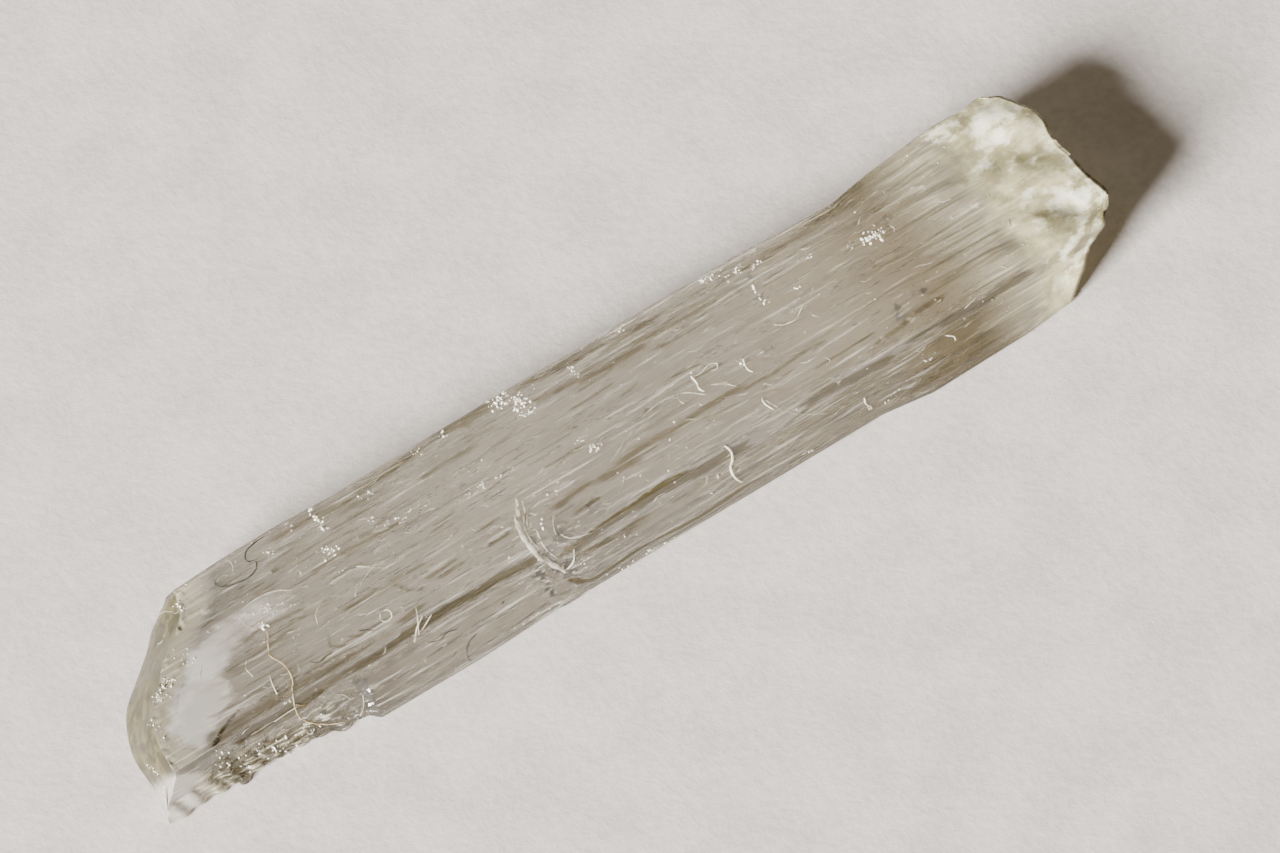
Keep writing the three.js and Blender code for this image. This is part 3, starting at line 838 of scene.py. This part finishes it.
def add_piece(name, mesh, finish):
    """Turns a mesh's faces outwards and makes it a piece that lies on the crystal."""
    shape = bmesh.new()
    shape.from_mesh(mesh)
    bmesh.ops.recalc_face_normals(shape, faces=shape.faces)
    shape.to_mesh(mesh)
    shape.free()
    piece = bpy.data.objects.new(name, mesh)
    bpy.context.scene.collection.objects.link(piece)
    piece.data.materials.append(finish)
    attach(piece, "root")


def fuzz_strands():
    """Short pale fibres strewn over the crystal, most of them lying lengthwise."""
    count, lengths, radii = FUZZ
    draw = drawer(seed=71)
    strands = []
    for _ in range(count):
        middle = np.array((mix(-5.2, 5.1, draw()), mix(-1.2, 1.0, draw())))
        angle = (draw() - 0.5) * (0.7 if draw() < 0.6 else 3)
        lengthwise = np.array((math.cos(angle), math.sin(angle)))
        across = np.array((-lengthwise[1], lengthwise[0]))
        reach = mix(*lengths, draw() ** 1.5) / 2
        bow = reach * (draw() - 0.5)
        line = [middle - lengthwise * reach, middle + across * bow, middle + lengthwise * reach]
        strands.append((mix(*radii, draw()), line))
    return strands


def crumb_places():
    """Where each crumb lies and its radius."""
    draw = drawer(seed=97)
    places = list(CHIPS_AND_GLINTS)
    for x, y, along_x, along_y, count, radius in CRUMB_GROUPS:
        for _ in range(count):
            far_x = draw() + draw() - 1
            far_y = draw() + draw() - 1
            size = radius * mix(0.35, 1, draw())
            places.append((x + far_x * along_x * 1.4, y + far_y * along_y * 1.4, size))
    count, radius = STREWN_CRUMBS
    for _ in range(count):
        x = mix(-5.1, 5, draw())
        y = mix(-1.3, 1.05, draw() ** 0.8)
        places.append((x, y, radius * mix(0.4, 1, draw())))
    return places


def make_crumbs(laying):
    """Small uneven crumbs of salt as one mesh."""
    draw = drawer(seed=131)
    shape = bmesh.new()
    for x, y, radius in crumb_places():
        turn = Euler([draw() * CRUMB_TURN for _ in range(3)]).to_matrix().to_4x4()
        size = Matrix.Diagonal((1, mix(0.4, 0.8, draw()), mix(0.3, 0.6, draw()), 1))
        middle = laying.rest(x, y, radius * CRUMB_LIFT)
        if middle is None:
            continue
        middle.z = max(middle.z, radius * MM)
        made = bmesh.ops.create_icosphere(shape, subdivisions=1, radius=radius * MM,
                                          matrix=Matrix.Translation(middle) @ turn @ size)
        for vert in made["verts"]:
            vert.co = middle + (vert.co - middle) * mix(*CRUMB_UNEVENNESS, draw())
    mesh = bpy.data.meshes.new("salt_crumbs")
    shape.to_mesh(mesh)
    shape.free()
    add_piece("salt_crumbs", mesh, crumb_salt())


# ---------- finishes ----------

SALT_IOR = 1.46

# Colours of the clear salt, as light passes into it.
CLEAR_NEAR = (1, 0.975, 0.905, 1)
CLEAR_FAR = (0.965, 0.91, 0.76, 1)
LINE_SHADE = (0.39, 0.34, 0.235, 1)
FLANK_SHADE = (0.4, 0.35, 0.22, 1)
# Painted shade of the slopes that face away from the lamp.
SLOPE_PAINTED_SHADE = (0.4, 0.34, 0.2, 1)
RIM_DARK = (0.36, 0.31, 0.17, 1)
RIM_LIGHT = (0.46, 0.405, 0.23, 1)
BROKEN_SHADE = (0.28, 0.23, 0.11, 1)
OLIVE_SHADE = (0.285, 0.245, 0.145, 1)
# Brown of the veins, also used as painted shade in the steep face's streak.
BROWN_SHADE = (0.06, 0.045, 0.014, 1)
DEPTH_TINT = (0.92, 0.88, 0.76, 1)
DEPTH_DENSITY = 100.0

# Colours of the milky salt that lies over it.
CLOUD_DARK = (0.38, 0.34, 0.185, 1)
CLOUD_LIGHT = (0.75, 0.705, 0.43, 1)
DUST_NEAR = (0.84, 0.79, 0.71, 1)
DUST_FAR = (0.46, 0.415, 0.31, 1)
# Painted light: white laid into the clear patch for the light that reaches the paper beneath it.
CLEAR_PATCH_PAINTED_LIGHT = (1, 0.945, 0.85, 1)
TIP_MILK = (0.6, 0.545, 0.385, 1)
RIM_MILK = (0.37, 0.325, 0.145, 1)
BROKEN_MILK = (0.62, 0.57, 0.42, 1)
# White of the frosted end, also used for painted highlights and glow.
FROST_AND_HIGHLIGHT_WHITE = (1, 0.985, 0.78, 1)
OLIVE_MILK = (0.36, 0.3, 0.18, 1)
BROWN_MILK = (0.105, 0.085, 0.042, 1)

CRUMB_CREAM = (0.8, 0.76, 0.58, 1)
CRUMB_WHITE = (1, 0.98, 0.88, 1)
PAPER_DARK = (0.652, 0.604, 0.569, 1)
PAPER_LIGHT = (0.793, 0.743, 0.705, 1)


class Value:
    """A shader socket that can be used in sums."""

    def __init__(self, finish, socket):
        self.finish = finish
        self.socket = socket

    def __add__(self, other):
        return self.finish.math("ADD", self, other)

    __radd__ = __add__

    def __mul__(self, other):
        return self.finish.math("MULTIPLY", self, other)

    __rmul__ = __mul__

    def __sub__(self, other):
        return self.finish.math("SUBTRACT", self, other)

    def __rsub__(self, other):
        return self.finish.math("SUBTRACT", other, self)

    def clamp(self):
        result = self.finish.math("ADD", self, 0)
        result.socket.node.use_clamp = True
        return result


class Finish:
    """A material and its nodes."""

    def __init__(self, name):
        self.material = bpy.data.materials.new(name)
        self.material.use_nodes = True
        self.nodes = self.material.node_tree.nodes
        self.links = self.material.node_tree.links
        self.nodes.clear()
        self.output = self.nodes.new("ShaderNodeOutputMaterial")

    def fill(self, socket, value):
        if isinstance(value, Value):
            value = value.socket
        if isinstance(value, bpy.types.NodeSocket):
            self.links.new(value, socket)
        else:
            socket.default_value = value

    def node(self, kind, settings=None, **inputs):
        """One node; an input named _0, _1 and so on is given by its place."""
        made = self.nodes.new(kind)
        for name, value in (settings or {}).items():
            setattr(made, name, value)
        for name, value in inputs.items():
            key = int(name[1:]) if name[0] == "_" else name.replace("_", " ")
            self.fill(made.inputs[key], value)
        return made

    def math(self, operation, a, b):
        made = self.node("ShaderNodeMath", {"operation": operation}, _0=a, _1=b)
        return Value(self, made.outputs[0])

    def ramp(self, value, start, end):
        made = self.node("ShaderNodeMapRange", {"interpolation_type": "SMOOTHSTEP"},
                         Value=value, From_Min=start, From_Max=end, To_Min=0.0, To_Max=1.0)
        return Value(self, made.outputs[0])

    def place(self, scale=(1, 1, 1), middle=(0, 0, 0)):
        """Object coordinates in millimetres, taken from a middle and stretched."""
        coordinates = self.node("ShaderNodeTexCoord")
        inside = [s / MM for s in scale]
        shift = [-m * s for m, s in zip(middle, scale)]
        made = self.node("ShaderNodeMapping", Vector=coordinates.outputs["Object"],
                         Scale=inside, Location=shift)
        return made.outputs[0]

    def mask(self, name):
        made = self.node("ShaderNodeAttribute", {"attribute_name": name})
        return Value(self, made.outputs["Fac"])

    def noise(self, vector, detail=2.0, roughness=0.5):
        made = self.node("ShaderNodeTexNoise", Vector=vector, Scale=1.0, Detail=detail,
                         Roughness=roughness)
        return Value(self, made.outputs[0])

    def axes(self, vector):
        made = self.node("ShaderNodeSeparateXYZ", Vector=vector)
        return [Value(self, socket) for socket in made.outputs]

    def colour_mix(self, factor, a, b):
        made = self.node("ShaderNodeMix", {"data_type": "RGBA"}, _0=factor, _6=a, _7=b)
        return made.outputs[2]

    def layered(self, colour, *layers):
        """A colour with others over it, each layer as (share, colour)."""
        for share, other in layers:
            colour = self.colour_mix(share, colour, other)
        return colour

    def bump(self, height, distance):
        made = self.node("ShaderNodeBump", Height=height, Distance=distance, Strength=1.0)
        return made.outputs[0]


def clear_salt():
    """Clear salt with fine lengthwise growth lines, turning milky at the far end, with painted shade and
    painted light in places.
    """
    finish = Finish("clear salt")
    x, y, _ = finish.axes(finish.place())
    lines = finish.noise(finish.place(scale=(0.3, 20, 20)), detail=3, roughness=0.6)
    bands = finish.noise(finish.place(scale=(0.25, 6, 6), middle=(7, 2, 1)), detail=2)
    flecks = finish.noise(finish.place(scale=(1.6, 18, 18), middle=(1, 5, 2)), detail=2)
    threads = finish.noise(finish.place(scale=(1.2, 26, 26), middle=(3, 1, 0)), detail=2)
    fray = finish.noise(finish.place(scale=(1.4, 24, 24)), detail=3, roughness=0.65)
    cloud = finish.noise(finish.place(scale=(1.8, 3.0, 3.0)), detail=3, roughness=0.6)
    curds = finish.noise(finish.place(scale=(4.5, 6.5, 6.5), middle=(2, 0, 1)), detail=3, roughness=0.65)
    grain = finish.noise(finish.place(scale=(9, 12, 12)), detail=2, roughness=0.65)

    body = 1 - finish.ramp(finish.mask("clear") + (lines - 0.5) * 0.9, 0.2, 0.85)
    frost = finish.ramp(finish.mask("frost") + (bands - 0.5) * 0.4, 0.1, 1.0)
    ripe = finish.ramp(x + (cloud - 0.5) * 0.8, 4.65, 5.15) * frost
    # Painted highlights and glow: white at the frosted end's brightest places, over its real white frost.
    frost_and_highlight = finish.ramp(finish.mask("frost_and_highlight") + (curds - 0.5) * 1.8 + (grain - 0.5) * 1.6, 0.25, 1.2)
    frost_and_highlight = frost_and_highlight * finish.ramp(finish.mask("frost_and_highlight"), 0, 0.3)
    haze = finish.mask("haze") * finish.ramp(grain, 0.4, 0.62)
    pale = finish.mask("pale")
    rim = finish.mask("rim")
    broken = (finish.mask("broken") + finish.mask("chips")).clamp()
    # Painted shade: dark brown veins, and the steep face's streak, which is dark by refraction.
    vein_and_shade = finish.ramp(finish.mask("vein_and_shade") * 2.1 + (fray - 0.5) * 3.0 + (curds - 0.5) * 1.4, 0.4, 1.4)
    vein_and_shade = vein_and_shade * finish.ramp(finish.mask("vein_and_shade"), 0, 0.12)
    olive = finish.ramp(finish.mask("olive") * 1.5 + (fray - 0.5) * 2.0, 0.2, 1.15)
    olive = olive * finish.ramp(finish.mask("olive"), 0, 0.15)
    upper = finish.ramp(y, 0.45, 0.85)
    far = finish.ramp(x, 0.5, 4.8)
    flank = finish.mask("flank")
    slope = finish.mask("slope")
    tip = finish.mask("tip") * body

    shade = finish.ramp(lines, 0.48, 0.66) * 0.14
    shade = shade + finish.ramp(bands, 0.46, 0.64) * (0.04 + upper * far * 0.22 + far * 0.06)
    shade = (shade * (body * 0.7 + 0.3) + finish.ramp(flecks, 0.6, 0.74) * body * 0.14).clamp()
    tint = finish.layered(
        CLEAR_NEAR,
        (far, CLEAR_FAR),
        (shade, LINE_SHADE),
        (flank * 0.8, FLANK_SHADE),
        # Painted shade on the slopes that face away from the lamp.
        (slope * (finish.ramp(x, -1, 3.5) * 0.62 + 0.28), SLOPE_PAINTED_SHADE),
        (rim, finish.colour_mix(finish.ramp(curds, 0.4, 0.6), RIM_DARK, RIM_LIGHT)),
        (broken * finish.ramp(fray, 0.56, 0.44), BROKEN_SHADE),
        (olive, OLIVE_SHADE),
        # Dark brown veins and painted shade.
        (vein_and_shade, BROWN_SHADE))

    roughness = (flank * 0.2 + rim * 0.3 + 0.03).clamp()
    grainy = (broken * 0.5 + rim + finish.ramp(x, 4.6, 5.2) * 0.6).clamp()
    grain_bump = finish.bump(grain * grainy, 0.008 * MM)

    clear = finish.node("ShaderNodeBsdfPrincipled", Base_Color=tint, IOR=SALT_IOR,
                        Roughness=roughness, Normal=grain_bump, Transmission_Weight=1.0)
    curdled = finish.ramp(cloud * 0.5 + curds * 0.5, 0.38, 0.62)
    milky = finish.layered(
        DUST_NEAR,
        (finish.ramp(x, 2.8, 4.0), DUST_FAR),
        (ripe, finish.colour_mix(curdled, CLOUD_DARK, CLOUD_LIGHT)),
        # Painted light in the clear patch.
        ((1 - body) * 0.7, CLEAR_PATCH_PAINTED_LIGHT),
        (tip * 0.8, TIP_MILK),
        (rim, RIM_MILK),
        (finish.mask("broken"), BROKEN_MILK),
        # White frost with painted highlights and glow.
        (frost_and_highlight, FROST_AND_HIGHLIGHT_WHITE),
        (olive * 0.7, OLIVE_MILK),
        # Brown veins and painted shade in the milky salt too.
        (vein_and_shade, BROWN_MILK))
    milk = finish.node("ShaderNodeBsdfPrincipled", Base_Color=milky, IOR=SALT_IOR, Roughness=0.3,
                       Normal=grain_bump)

    # How much of the milky salt lies over the clear salt at each place; white milk also gives painted light
    # in the clear patch and painted highlights at the frosted end's brightest places.
    crust = frost * (finish.ramp(threads, 0.4, 0.66) * (1 - ripe) * 0.25 + ripe * 0.33 + 0.45)
    crust = crust * (1 - finish.mask("bevel") * 0.45)
    crust = crust + frost_and_highlight * 0.6 + haze * 0.12 + flank * 0.2 + pale * 0.3
    crust = crust + rim * (finish.ramp(curds, 0.38, 0.68) * 0.22 + 0.1) + tip * 0.34
    # The slopes get a little less milk, which darkens them as painted shade.
    crust = crust + body * (finish.ramp(threads, 0.56, 0.74) * 0.32 + 0.08 - slope * 0.03) * (1 - rim)
    crust = crust + broken * finish.ramp(threads, 0.5, 0.64) * 0.36
    # Painted light: milk over the clear patch brightens it, standing for the light that reaches the paper
    # beneath it.
    window_painted_light = finish.ramp(cloud, 0.42, 0.6) * 0.16 + 0.38 - finish.ramp(x, -5.2, -4.4) * 0.2
    crust = crust + (1 - body) * window_painted_light
    crust = crust.clamp() * (1 - vein_and_shade * 0.8) + vein_and_shade * (finish.ramp(fray, 0.42, 0.6) * 0.3 + 0.3)
    surface = finish.node("ShaderNodeMixShader", _0=crust, _1=clear.outputs[0],
                          _2=milk.outputs[0])
    depth = finish.node("ShaderNodeVolumeAbsorption", Color=DEPTH_TINT, Density=DEPTH_DENSITY)
    finish.links.new(surface.outputs[0], finish.output.inputs["Surface"])
    finish.links.new(depth.outputs[0], finish.output.inputs["Volume"])
    return finish.material


def lint(name, dark, light, opacity):
    """Dry fibre that changes a little along its length."""
    finish = Finish(name)
    patches = finish.noise(finish.place(scale=(9, 9, 9)), detail=2)
    colour = finish.colour_mix(finish.ramp(patches, 0.35, 0.65), dark, light)
    fibre = finish.node("ShaderNodeBsdfPrincipled", Base_Color=colour, Roughness=0.6, Alpha=opacity)
    finish.links.new(fibre.outputs[0], finish.output.inputs["Surface"])
    return finish.material


def crumb_salt():
    """White salt, a little yellow in places, with a slight shine."""
    finish = Finish("crumb salt")
    patches = finish.noise(finish.place(scale=(25, 25, 25)), detail=2)
    colour = finish.colour_mix(finish.ramp(patches, 0.35, 0.55), CRUMB_CREAM, CRUMB_WHITE)
    crumb = finish.node("ShaderNodeBsdfPrincipled", Base_Color=colour, Roughness=0.2)
    finish.links.new(crumb.outputs[0], finish.output.inputs["Surface"])
    return finish.material


def paper():
    """Pale paper, softly mottled, with a fine nap."""
    finish = Finish("pale paper")
    mottle = finish.noise(finish.place(scale=(1.3, 1.3, 1.3)), detail=2)
    fibres = finish.noise(finish.place(scale=(9, 9, 9)), detail=3, roughness=0.7)
    shade = finish.ramp(mottle * 0.5 + fibres * 0.5, 0.34, 0.66)
    colour = finish.colour_mix(shade, PAPER_DARK, PAPER_LIGHT)
    nap = finish.bump(fibres, 0.007 * MM)
    sheet = finish.node("ShaderNodeBsdfPrincipled", Base_Color=colour, Roughness=0.9, Normal=nap)
    finish.links.new(sheet.outputs[0], finish.output.inputs["Surface"])
    return finish.material


# ---------- floor, light and camera ----------

# Where the camera stands and looks. Its view's width and the place it looks at are shares of
# the crystal's box.
VIEW_HEIGHT = math.radians(55)
VIEW_TURN = math.radians(35.8)
VIEW_FORWARD = Vector((math.sin(VIEW_TURN), math.cos(VIEW_TURN), 0))
VIEW_RIGHT = Vector((math.cos(VIEW_TURN), -math.sin(VIEW_TURN), 0))
VIEW_DISTANCE = 0.3
VIEW_WIDTH = 1.0863
LOOK_AT = (0.0599, 0.1124)
SENSOR_WIDTH = 36
NEAREST_SEEN = 0.001

# The lamp stands low behind the camera's left shoulder. Its turn is the way its light travels,
# from the camera's right towards straight ahead.
LAMP_TURN = math.radians(52)
LAMP_HEIGHT = math.radians(21.5)
LAMP_DISTANCE = 0.6
LAMP_POWER = 19.7
LAMP_SIZE = 0.2
LAMP_COLOUR = (1, 0.978, 0.955)
ROOM_COLOUR = (0.158, 0.135, 0.1, 1)

FLOOR_SIZE = 2
FLOOR_DROP = 0.01 * MM


def make_floor():
    bpy.ops.mesh.primitive_plane_add(size=FLOOR_SIZE, location=(0, 0, -FLOOR_DROP))
    floor = bpy.context.object
    floor.name = "floor"
    floor.data.materials.append(paper())


def aim(thing, place, toward):
    """Stands the camera or the lamp at a place and turns it towards another."""
    thing.location = place
    thing.rotation_mode = "QUATERNION"
    thing.rotation_quaternion = (toward - place).to_track_quat("-Z", "Y")
    bpy.context.scene.collection.objects.link(thing)


def make_camera():
    low, high = CAD_BOX
    length, width = high[0] - low[0], high[1] - low[1]
    look = Vector((LOOK_AT[0] * length, LOOK_AT[1] * width, 0))
    back = Vector((0, 0, math.sin(VIEW_HEIGHT))) - VIEW_FORWARD * math.cos(VIEW_HEIGHT)
    camera = bpy.data.objects.new("camera", bpy.data.cameras.new("camera"))
    camera.data.sensor_width = SENSOR_WIDTH
    camera.data.lens = SENSOR_WIDTH * VIEW_DISTANCE / (VIEW_WIDTH * length)
    camera.data.clip_start = NEAREST_SEEN
    aim(camera, look + back * VIEW_DISTANCE, look)
    bpy.context.scene.camera = camera


def make_lights():
    world = bpy.data.worlds.new("room")
    world.use_nodes = True
    bpy.context.scene.world = world
    room = world.node_tree.nodes["Background"]
    room.inputs["Color"].default_value = ROOM_COLOUR
    travel = VIEW_RIGHT * math.cos(LAMP_TURN) + VIEW_FORWARD * math.sin(LAMP_TURN)
    away = Vector((0, 0, math.sin(LAMP_HEIGHT))) - travel * math.cos(LAMP_HEIGHT)
    lamp = bpy.data.lights.new("key", "AREA")
    lamp.energy = LAMP_POWER
    lamp.size = LAMP_SIZE
    lamp.color = LAMP_COLOUR
    aim(bpy.data.objects.new("key", lamp), away * LAMP_DISTANCE, Vector())


make_camera()
make_floor()
make_lights()
laying = make_crystal()
for name, finish_name, dark, light, opacity, strands in (
    ("pale_lint", "pale lint", (0.6, 0.55, 0.4, 1), (0.88, 0.84, 0.69, 1), 0.85, PALE_LINT),
    ("amber_lint", "amber lint", (0.42, 0.29, 0.12, 1), (0.6, 0.49, 0.28, 1), 0.6, AMBER_LINT),
    ("soft_lint", "soft lint", (0.5, 0.45, 0.33, 1), (0.8, 0.76, 0.64, 1), 0.4, SOFT_LINT),
    ("dark_hairs", "dark hair", (0.03, 0.025, 0.02, 1), (0.1, 0.085, 0.06, 1), 0.85, DARK_HAIRS),
    ("fuzz", "fuzz", (0.55, 0.5, 0.38, 1), (0.8, 0.76, 0.66, 1), 0.35, fuzz_strands()),
):
    make_strands(name, strands, lint(finish_name, dark, light, opacity), laying)
make_crumbs(laying)
